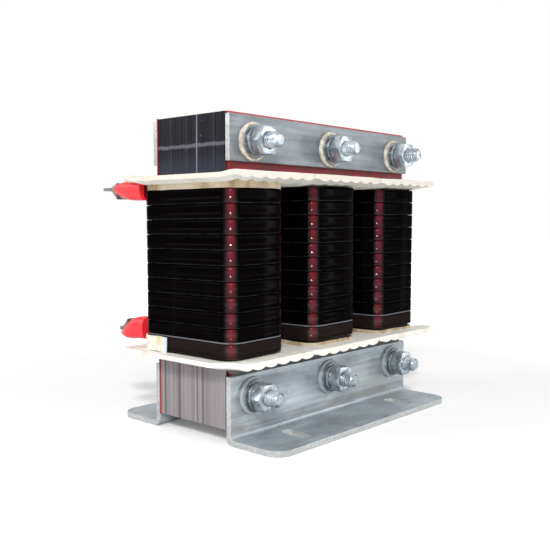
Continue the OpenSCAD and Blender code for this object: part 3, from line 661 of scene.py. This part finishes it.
def coil_stations(index):
    """Centres and headings of one coil's wire, from the bottom lead's end to the top lead's end."""
    c = bpy.context.scene.reactor_coils
    name = COILS[index]
    wrap_low, wrap_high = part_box(name + "_wrap")
    middle = (wrap_low + wrap_high) / 2
    fit = 0.2 * MM
    half_x = (wrap_high.x - wrap_low.x) / 2 + fit + c.wire_thickness / 2
    half_y = (wrap_high.y - wrap_low.y) / 2 + fit + c.wire_thickness / 2
    arc_x, arc_y = half_x - c.corner_radius, half_y - c.corner_radius
    pitch = c.wire_height + c.turn_gap
    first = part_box(name + "_winding")[0].z + c.wire_height / 2
    into_barrel = 8 * MM
    low_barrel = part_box("bottom_lugs")[0].y + into_barrel
    low_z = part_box("left_winding")[0].z + c.wire_height / 2 + c.lead_climb
    top_z = first + (c.turns - 1) * pitch + c.turn_rise
    top_lead_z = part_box("left_winding")[0].z + c.wire_height / 2 + (c.turns - 1) * pitch
    top_lead_z += c.turn_rise + c.lead_rise
    top_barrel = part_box("top_lugs")[0].y + into_barrel
    lead = c.lead_radius
    gap = 0.5 * MM
    peel = c.wire_thickness + gap
    step_end = -0.325 * arc_x
    rows = []

    def put(x, y, z, heading):
        rows.append((Vector((middle.x + x, y, z)), heading))

    def corner(cx, cy, start, z, spread=0.0, rise=0.0):
        for k in range(c.corner_steps + 1):
            share = k / c.corner_steps
            spot = outward(start + 90 * share) * (c.corner_radius + spread * share)
            put(cx + spot.x, cy + spot.y, z + rise * share, start + 90 * share)

    low_x, low_bend = -arc_x + lead, half_y + lead
    climb_y = low_bend + lead / 2 + 1.5 * c.lead_climb
    put(low_x, low_barrel, low_z, 270)
    put(low_x, climb_y + 1 * MM, low_z, 270)
    for share in (0.15, 0.35, 0.5, 0.65, 0.85):
        y = climb_y + (low_bend + lead / 2 - climb_y) * share
        put(low_x, y, low_z + (first - low_z) * smoothstep(0, 1, share), 270)
    put(low_x, low_bend + lead / 4, first, 270)
    for k in range(7):
        a = 15 * k
        spot = -lead * outward(270 - a)
        put(low_x - lead + spot.x, low_bend + spot.y, first, 270 - a)
    corner(-arc_x, arc_y, 180, first)
    for k in range(c.turns):
        z = first + k * pitch
        last = k == c.turns - 1
        corner(-arc_x, -arc_y, 270, z + c.turn_rise / 2)
        corner(arc_x, -arc_y, 0, z + 0.7 * c.turn_rise)
        corner(arc_x, arc_y, 90, z + c.turn_rise, peel if last else 0.0)
        if last:
            continue
        for share in (0.12, 0.3, 0.5, 0.7, 0.88):
            x = arc_x + (step_end - arc_x) * share
            rise = (pitch - c.turn_rise) * smoothstep(0, 1, share)
            put(x, half_y, z + c.turn_rise + rise, 180)
        put(step_end, half_y, z + pitch, 180)
        corner(-arc_x, arc_y, 180, z + pitch)
    top_x = -arc_x - 0.7 * lead
    out_y = half_y + peel
    for share in (0.2, 0.4, 0.6, 0.8):
        x = arc_x + (step_end - arc_x) * share
        put(x, out_y, top_z + (top_lead_z - top_z) * smoothstep(0, 1, share), 180)
    put(step_end, out_y, top_lead_z, 180)
    for k in range(7):
        a = 15 * k
        spot = -lead * outward(180 - a)
        put(top_x + lead + spot.x, out_y + lead + spot.y, top_lead_z, 180 - a)
    put(top_x, top_barrel, top_lead_z, 90)
    return rows


def station_matrix(spot, heading):
    """Frame of a wire section: X outward, Y along the wire, Z up."""
    out = outward(heading)
    along = Vector((0, 0, 1)).cross(out)
    turn = Matrix((out, along, Vector((0, 0, 1)))).transposed().to_4x4()
    return Matrix.Translation(spot) @ turn


class REACTOR_OT_windings(bpy.types.Operator):
    """Winds the three coils of flat wire, leads included"""
    bl_idname = "reactor.windings"
    bl_label = "Windings"

    def execute(self, context):
        c = context.scene.reactor_coils
        for index, name in enumerate(COILS):
            bm = bmesh.new()
            tags = [bm.verts.layers.float.new(tag) for tag in ("up", "bend", "turn")]
            face = wire_profile(bm, c.wire_thickness, c.wire_height, c.wire_edge)
            rows = coil_stations(index)
            rings = sweep(bm, face, [station_matrix(*row) for row in rows])
            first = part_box(name + "_winding")[0].z + c.wire_height / 2
            pitch = c.wire_height + c.turn_gap
            for (spot, heading), ring in zip(rows, rings):
                turn = (spot.z - first) / pitch
                sag = 0.1 * MM * wobble((spot.x, spot.y, turn), 40, index)
                for v in ring:
                    v[tags[0]] = 2 * (v.co.z - spot.z) / c.wire_height
                    v[tags[1]] = 1 - abs(heading % 90 - 45) / 45
                    v[tags[2]] = round(turn - 0.08)
                    v.co.z += sag
            new_piece(bm, name + "_coil", finish("enamel"), [name + "_winding"])
        return {"FINISHED"}


class REACTOR_OT_core(bpy.types.Operator):
    """Stacks the yokes from single laminations and paints the legs"""
    bl_idname = "reactor.core"
    bl_label = "Core"

    def execute(self, context):
        sheet = context.scene.reactor_metal.sheet
        for node, look in (("top_yoke", "dark_core"), ("bottom_yoke", "bare_core")):
            low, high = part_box(node)
            rng = random.Random(node)
            bm = bmesh.new()
            count = round((high.y - low.y) / sheet)
            for k in range(count):
                inset = [0.16 * MM * rng.random() ** 2 for _ in range(4)]
                thin = sheet * 0.96
                size = Vector((
                    high.x - low.x - inset[0] - inset[1], thin,
                    high.z - low.z - 0.3 * (inset[2] + inset[3])))
                mid = Vector((
                    (low.x + high.x + inset[0] - inset[1]) / 2, low.y + (k + 0.5) * sheet,
                    (low.z + high.z + 0.3 * (inset[2] - inset[3])) / 2))
                bmesh.ops.create_cube(
                    bm, size=1, matrix=Matrix.Translation(mid) @ Matrix.Diagonal((*size, 1)))
            new_piece(bm, node + "_stack", finish(look), [node])
        for name in ("left_leg", "middle_leg", "right_leg"):
            paint_node(name, finish("bare_core"))
        for name in ("gap_sheets", "packing_strips", "left_former", "middle_former", "right_former"):
            paint_node(name, finish("paper"))
        for name in COILS:
            paint_node(name + "_wrap", finish("soaked"))
        paint_node("bolt_tubes", finish("cloth"))
        return {"FINISHED"}


# Boards and cloth

def board_lift(x, y, top):
    """How far a board's sheet stands off its flat place."""
    b = bpy.context.scene.reactor_boards
    high = YOKE[1]
    past_y = smoothstep(high.y, high.y + 17 * MM, abs(y))
    past_x = smoothstep(high.x, high.x + 9 * MM, abs(x))
    near = smoothstep(-20 * MM, -40 * MM, y)
    wave = 0.45 * MM * wobble((x, y, 0), 45, 3.0 if top else 8.0)
    if top:
        return max(past_y * b.edge_lift, past_x * b.end_lift) + past_y * wave
    return past_y * (0.3 * MM + wave) + near * (0.8 * MM + past_x * 1.0 * MM)


class REACTOR_OT_boards(bpy.types.Operator):
    """Bends the six ribbed end boards"""
    bl_idname = "reactor.boards"
    bl_label = "End boards"

    def execute(self, context):
        step = context.scene.reactor_boards.station
        yoke = YOKE[1]
        for level in ("top", "bottom"):
            for name in COILS:
                node = name + "_" + level + "_board"
                low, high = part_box(node)
                bm = copy_of(node)
                places = [((0, s * (yoke.y + k * step), 0), (0, 1, 0)) for s in (-1, 1) for k in range(6)]
                places += [((s * (yoke.x + k * step), 0, 0), (1, 0, 0)) for s in (-1, 1) for k in range(4)]
                for point, normal in places:
                    if low.x < point[0] < high.x or normal[1]:
                        cut(bm, point, normal)
                for v in bm.verts:
                    v.co.z += board_lift(v.co.x, v.co.y, level == "top")
                new_piece(bm, node + "_sheet", finish("board"), [node])
        return {"FINISHED"}


def rounded_outline(cx, half_x, half_y, radius, steps=6, along=14):
    """Points round a rectangle with round corners, counter-clockwise from above."""
    points = []
    corners = ((1, -1, -90), (1, 1, 0), (-1, 1, 90), (-1, -1, 180))
    for sx, sy, start in corners:
        for k in range(steps + 1):
            a = math.radians(start + 90 * k / steps)
            points.append(Vector((
                cx + sx * (half_x - radius) + radius * math.cos(a),
                sy * (half_y - radius) + radius * math.sin(a), 0)))
    full = []
    for p, q in zip(points, points[1:] + points[:1]):
        parts = along if (q - p).length > 5 * MM else 1
        full.extend(p.lerp(q, k / parts) for k in range(parts))
    return full


def band(bm, outline, middle, low, high, sway, rows=5):
    """Closed wall of cloth over an outline, from low(x, y) to high(x, y), swaying in and out."""
    walls = []
    for k in range(rows + 1):
        share = k / rows
        wall = []
        for p in outline:
            z = low(p.x, p.y) * (1 - share) + high(p.x, p.y) * share
            out = (p - middle).normalized() * sway * wobble((p.x, p.y, z), 130, 2.0)
            wall.append(Vector((p.x + out.x, p.y + out.y, z)))
        walls.append(wall)
    loft(bm, walls)


class REACTOR_OT_cloth(bpy.types.Operator):
    """Wraps the bands, collars and starting tapes of glass cloth"""
    bl_idname = "reactor.cloth"
    bl_label = "Glass cloth"

    def execute(self, context):
        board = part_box("left_top_board")[0].z
        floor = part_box("left_bottom_board")[1].z
        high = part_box("bottom_collars")[1]
        sway = 0.5 * MM
        cloth = 0.5 * MM
        half_x = 19.4 * MM
        half_y = 32.5 * MM
        radius = 7 * MM
        coil_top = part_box("top_bands")[0].z

        def under(x, y):
            torn = smoothstep(-8 * MM, -30 * MM, y) * smoothstep(-55 * MM, -42 * MM, x)
            return coil_top - 0.2 * MM + 0.3 * MM * wobble((x, y, 0), 90) - torn * 0.8 * MM

        def over(x, y):
            return board + board_lift(x, y, True) + 0.6 * MM

        def lip(x, y):
            return high.z + 0.2 * MM + 0.35 * MM * wobble((x, y, 0), 80, 4.0)

        def foot(*_):
            return floor - 0.3 * MM

        bm = bmesh.new()
        middle = Vector((centre("left_wrap").x, 0, 0))
        band(bm, rounded_outline(middle.x, half_x, half_y, radius), middle, under, over, sway)
        bmesh.ops.recalc_face_normals(bm, faces=bm.faces)
        bmesh.ops.solidify(bm, geom=list(bm.faces), thickness=cloth)
        new_piece(bm, "top_cloth_bands", finish("cloth"), ["top_bands"])
        bm = bmesh.new()
        for name in COILS[1:]:
            middle = Vector((centre(name + "_wrap").x, 0, 0))
            band(bm, rounded_outline(middle.x, half_x, half_y, radius), middle, foot, lip, sway)
        bmesh.ops.recalc_face_normals(bm, faces=bm.faces)
        bmesh.ops.solidify(bm, geom=list(bm.faces), thickness=cloth)
        new_piece(bm, "bottom_cloth_collars", finish("cloth"), ["bottom_collars"])
        bm = copy_of("start_tapes")
        tape = centre("start_tapes").y
        for v in bm.verts:
            if v.co.y < tape:
                v.co.y -= 3.5 * MM
        bmesh.ops.subdivide_edges(bm, edges=bm.edges, cuts=5, use_grid_fill=True)
        for v in bm.verts:
            v.co.x -= 0.35 * MM * (1 + wobble(v.co, 260, 6.0))
            v.co.z += 0.5 * MM * wobble((v.co.y, 0, v.co.z), 200, 1.0)
        new_piece(bm, "starting_tapes", finish("tape"), ["start_tapes"])
        return {"FINISHED"}


class REACTOR_OT_sheets(bpy.types.Operator):
    """Cuts the red insulating sheets"""
    bl_idname = "reactor.sheets"
    bl_label = "Insulating sheets"

    def execute(self, context):
        steel_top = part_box("front_foot_bracket")[1].z
        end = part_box("front_top_strip")[0].x
        for node in ("front_top_sheet", "back_top_sheet", "front_bottom_sheet", "back_bottom_sheet"):
            bm = copy_of(node)
            if node == "front_bottom_sheet":
                for at in (end + 1 * MM, end + 6 * MM):
                    cut(bm, (at, 0, 0), (1, 0, 0))
                for v in bm.verts:
                    if v.co.z > steel_top:
                        v.co.z = steel_top + (2.2 * MM if v.co.x < end + 3 * MM else -1.0 * MM)
            for v in bm.verts:
                if v.co.x < end + 0.3 * MM and node.startswith("front"):
                    v.co.x = end + 1.5 * MM
            new_piece(bm, node + "_red", finish("sheet"), [node])
        return {"FINISHED"}


# Steel

class REACTOR_OT_clamps(bpy.types.Operator):
    """Rounds the edges of the top strips and foot brackets"""
    bl_idname = "reactor.clamps"
    bl_label = "Strips and brackets"

    def execute(self, context):
        edge = context.scene.reactor_metal.plate_edge
        for node in ("front_top_strip", "back_top_strip", "front_foot_bracket", "back_foot_bracket"):
            bm = copy_of(node)
            soften(bm, edge, 2)
            new_piece(bm, node + "_plate", finish(node.split("_")[-1]), [node])
        return {"FINISHED"}


def bolt_places():
    """X and Z of the six bolts."""
    bolt_low, bolt_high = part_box("through_bolts")
    rows = (centre("bottom_yoke").z, bolt_high.z - (centre("bottom_yoke").z - bolt_low.z))
    return [(centre(name + "_wrap").x, z) for name in COILS for z in rows]


def thread(bm, x, z, radius, start, end, pitch):
    """Ridge of a thread that climbs along Y."""
    depth = 0.6 * MM
    turns = abs(end - start) / pitch
    steps = 24
    profile = (
        (radius - depth, 0.42 * pitch), (radius - 0.08 * pitch, 0.06 * pitch),
        (radius - 0.08 * pitch, -0.06 * pitch), (radius - depth, -0.42 * pitch))
    points = [bm.verts.new((x + r, start + along, z)) for r, along in profile]
    edges = [bm.edges.new(pair) for pair in zip(points, points[1:])]
    bmesh.ops.spin(
        bm, geom=[*points, *edges], cent=(x, start, z), axis=(0, 1, 0),
        dvec=(0, math.copysign(pitch / steps, end - start), 0), angle=2 * math.pi * turns,
        steps=round(turns * steps), use_merge=False, use_duplicate=False)


class REACTOR_OT_fasteners(bpy.types.Operator):
    """Rounds the fasteners and cuts the threads of the bolts' ends"""
    bl_idname = "reactor.fasteners"
    bl_label = "Fasteners"

    def execute(self, context):
        metal = context.scene.reactor_metal
        for node, look, slot in (
            ("nuts", "bright", "bright_zinc"), ("flat_washers", "bright", "bright_zinc"),
            ("spring_washers", "bright", "bright_zinc"), ("insulating_washers", "washer", "pad"),
        ):
            bm = copy_of(node)
            soften(bm, metal.bolt_edge, 2)
            new_piece(bm, node + "_set", finish(look), [node])
        bm = copy_of("through_bolts")
        soften(bm, metal.bolt_edge, 2)
        bolt_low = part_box("through_bolts")[0]
        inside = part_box("nuts")[0].y + 2 * MM
        cut(bm, (0, inside, 0), (0, 1, 0))
        places = bolt_places()
        for v in bm.verts:
            if v.co.y <= inside + 1e-6:
                x, z = min(places, key=lambda p: abs(p[0] - v.co.x) + abs(p[1] - v.co.z))
                v.co.x = x + (v.co.x - x) * 0.9
                v.co.z = z + (v.co.z - z) * 0.9
        for x, z in places:
            thread(bm, x, z, 4.0 * MM, inside, bolt_low.y + 1.1 * MM, metal.thread_pitch)
        new_piece(bm, "through_bolts_set", finish("bright"), ["through_bolts"])
        return {"FINISHED"}


class REACTOR_OT_leads(bpy.types.Operator):
    """Makes the lugs and their red sleeves"""
    bl_idname = "reactor.leads"
    bl_label = "Lugs and sleeves"

    def execute(self, context):
        c = context.scene.reactor_coils
        barrel_r = 4.34 * MM
        palm_half = 0.75 * MM
        for level in ("top", "bottom"):
            node = level + "_lugs"
            bm = copy_of(node)
            low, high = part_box(node)
            soften(bm, 0.15 * MM, 2)
            if level == "top":
                for v in bm.verts:
                    v.co.z += c.lead_rise * (1 - smoothstep(high.y - 14 * MM, high.y - 10 * MM, v.co.y))
            new_piece(bm, node + "_tinned", finish("tin"), [node])
            bm = bmesh.new()
            sleeve_low, sleeve_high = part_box(level + "_sleeves")
            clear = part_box("left_wrap")[1].y + (4.8 * MM if level == "top" else 3.4 * MM)
            start = max(sleeve_low.y - 4 * MM, clear)
            end = sleeve_high.y - (1.2 * MM if level == "top" else 2.4 * MM)
            full = 10.3 * MM if level == "top" else 12.0 * MM
            if level == "top":
                barrel = low.z + barrel_r + c.lead_rise
                palm = high.z - palm_half
            else:
                barrel = high.z - barrel_r
                palm = low.z + palm_half
            for name in COILS:
                shift = centre(name + "_wrap").x - centre("middle_wrap").x
                x = centre(node).x + shift
                rings = []
                for k in range(15):
                    share = k / 14
                    taper = max(0.0, (share - 0.38) / 0.62)
                    spot = (
                        x + 0.3 * MM * wobble((share * 9, shift * 40, 1), 1.0),
                        start + (end - start) * share,
                        barrel + (palm - barrel) * smoothstep(0.3, 1, share))
                    wide = full * (0.86 + 0.26 * smoothstep(0.0, 0.5, share)) - 3.0 * MM * taper ** 3
                    tall = full - (full - 3.2 * MM) * taper ** 1.7
                    crease = 1 + 0.03 * wobble((share * 6, 0, shift * 50), 1.0, 5.0)
                    rings.append(oval(spot, wide * crease, tall / crease))
                mouth = rings[0][0].y
                collar = oval((x, mouth - 0.6 * MM, barrel), 2.9 * MM, 7.6 * MM, 0.3)
                rings.insert(0, collar)
                loft(bm, rings)
            bmesh.ops.recalc_face_normals(bm, faces=bm.faces)
            bmesh.ops.solidify(bm, geom=list(bm.faces), thickness=0.65 * MM)
            new_piece(
                bm, level + "_sleeves_shrunk", finish("sleeve"), [level + "_sleeves"],
                math.radians(60))
        return {"FINISHED"}


# Studio

def area_light(name, place, target, size, power):
    """Soft lamp aimed at a point."""
    lamp = bpy.data.lights.new(name, "AREA")
    lamp.shape = "RECTANGLE"
    lamp.size, lamp.size_y = size
    lamp.energy = power
    holder = bpy.data.objects.new(name, lamp)
    holder.location = place
    aim = Vector(target) - Vector(place)
    holder.rotation_euler = aim.to_track_quat("-Z", "Y").to_euler()
    bpy.context.scene.collection.objects.link(holder)


def seen_rays(tree):
    """1 for the rays that see a background: those of the camera, of reflections and of glass."""
    path = tree.nodes.new("ShaderNodeLightPath")
    total = path.outputs["Is Camera Ray"]
    for kind in ("Is Glossy Ray", "Is Transmission Ray"):
        either = tree.nodes.new("ShaderNodeMath")
        either.operation = "MAXIMUM"
        tree.links.new(total, either.inputs[0])
        tree.links.new(path.outputs[kind], either.inputs[1])
        total = either.outputs[0]
    return total


class REACTOR_OT_studio(bpy.types.Operator):
    """Sets the camera, the pale floor and the soft lights"""
    bl_idname = "reactor.studio"
    bl_label = "Studio"

    def execute(self, context):
        s = context.scene.reactor_studio
        a, e = s.azimuth, s.elevation
        back = Vector((math.sin(a) * math.cos(e), -math.cos(a) * math.cos(e), math.sin(e)))
        right = Vector((math.cos(a), math.sin(a), 0))
        up = back.cross(right)
        turn = Matrix((right, up, back)).transposed()
        lens = bpy.data.cameras.new("camera")
        lens.lens = s.lens
        lens.sensor_width = 36
        lens.clip_start = 0.01
        camera = bpy.data.objects.new("camera", lens)
        camera.matrix_world = Matrix.Translation(s.camera_place) @ turn.to_4x4()
        context.scene.collection.objects.link(camera)
        context.scene.camera = camera

        world = bpy.data.worlds.new("studio")
        world.use_nodes = True
        tree = world.node_tree
        level = tree.nodes.new("ShaderNodeMapRange")
        level.inputs[3].default_value = 0.5
        level.inputs[4].default_value = 1.0
        tree.links.new(seen_rays(tree), level.inputs[0])
        tree.links.new(level.outputs[0], tree.nodes["Background"].inputs["Strength"])
        tree.nodes["Background"].inputs["Color"].default_value = (1, 1, 1, 1)
        context.scene.world = world

        bm = bmesh.new()
        bmesh.ops.create_grid(bm, x_segments=1, y_segments=1, size=s.floor_size / 2)
        mesh = bpy.data.meshes.new("floor")
        bm.to_mesh(mesh)
        bm.free()
        floor = bpy.data.objects.new("floor", mesh)
        context.scene.collection.objects.link(floor)
        ground = bpy.data.materials.new("pale_floor")
        ground.use_nodes = True
        tree = ground.node_tree
        shader = tree.nodes["Principled BSDF"]
        shader.inputs["Base Color"].default_value = (0.95, 0.95, 0.95, 1)
        shader.inputs["Roughness"].default_value = 0.9
        shader.inputs["Specular IOR Level"].default_value = 0.0
        spot = tree.nodes.new("ShaderNodeTexCoord")
        length = tree.nodes.new("ShaderNodeVectorMath")
        length.operation = "LENGTH"
        tree.links.new(spot.outputs["Object"], length.inputs[0])
        far = tree.nodes.new("ShaderNodeMapRange")
        far.interpolation_type = "SMOOTHSTEP"
        far.inputs[1].default_value = s.floor_clear
        far.inputs[2].default_value = 1.9 * s.floor_clear
        far.inputs[3].default_value = 0.12
        tree.links.new(length.outputs["Value"], far.inputs[0])
        glow = tree.nodes.new("ShaderNodeMath")
        glow.operation = "MULTIPLY"
        tree.links.new(far.outputs[0], glow.inputs[0])
        tree.links.new(seen_rays(tree), glow.inputs[1])
        shader.inputs["Emission Color"].default_value = (1, 1, 1, 1)
        tree.links.new(glow.outputs[0], shader.inputs["Emission Strength"])
        mesh.materials.append(ground)

        area_light("key", (-0.70, -0.63, 0.62), (0, 0, 0.08), (0.1, 0.1), 6.5)
        area_light("fill", (0.9, -1.1, 0.6), (0, 0, 0.08), (0.9, 0.9), 5)
        area_light("rim", (-0.9, 0.8, 0.7), (0, 0, 0.08), (0.6, 0.6), 5)
        area_light("strip", (0.74, -0.67, 0.1), (0, 0, 0.1), (0.05, 0.6), 0.6)
        area_light("glint", (-0.37, -0.30, 0.24), (0, 0, 0.08), (0.022, 0.022), 0.3)
        context.scene.view_settings.view_transform = "Standard"
        return {"FINISHED"}


class REACTOR_PT_panel(bpy.types.Panel):
    """Lists the reactor's pieces"""
    bl_label = "Line Reactor"
    bl_idname = "REACTOR_PT_panel"
    bl_space_type = "VIEW_3D"
    bl_region_type = "UI"
    bl_category = "Reactor"

    def draw(self, context):
        for operator in OPERATORS:
            self.layout.operator(operator.bl_idname)


GROUPS = {
    "reactor_coils": ReactorCoils,
    "reactor_boards": ReactorBoards,
    "reactor_metal": ReactorMetal,
    "reactor_colours": ReactorColours,
    "reactor_studio": ReactorStudio,
}
OPERATORS = (
    REACTOR_OT_studio, REACTOR_OT_core, REACTOR_OT_windings, REACTOR_OT_boards, REACTOR_OT_cloth,
    REACTOR_OT_sheets, REACTOR_OT_clamps, REACTOR_OT_fasteners, REACTOR_OT_leads,
)
CLASSES = (*GROUPS.values(), *OPERATORS, REACTOR_PT_panel)


def register():
    """Registers the classes and the scene's settings."""
    for cls in CLASSES:
        bpy.utils.register_class(cls)
    for name, group in GROUPS.items():
        setattr(bpy.types.Scene, name, PointerProperty(type=group))


def unregister():
    """Takes them away again."""
    for name in GROUPS:
        delattr(bpy.types.Scene, name)
    for cls in reversed(CLASSES):
        bpy.utils.unregister_class(cls)


def main():
    """Builds the whole scene."""
    register()
    bpy.ops.reactor.studio()
    bpy.ops.reactor.core()
    bpy.ops.reactor.windings()
    bpy.ops.reactor.boards()
    bpy.ops.reactor.cloth()
    bpy.ops.reactor.sheets()
    bpy.ops.reactor.clamps()
    bpy.ops.reactor.fasteners()
    bpy.ops.reactor.leads()


if __name__ == "__main__":
    main()
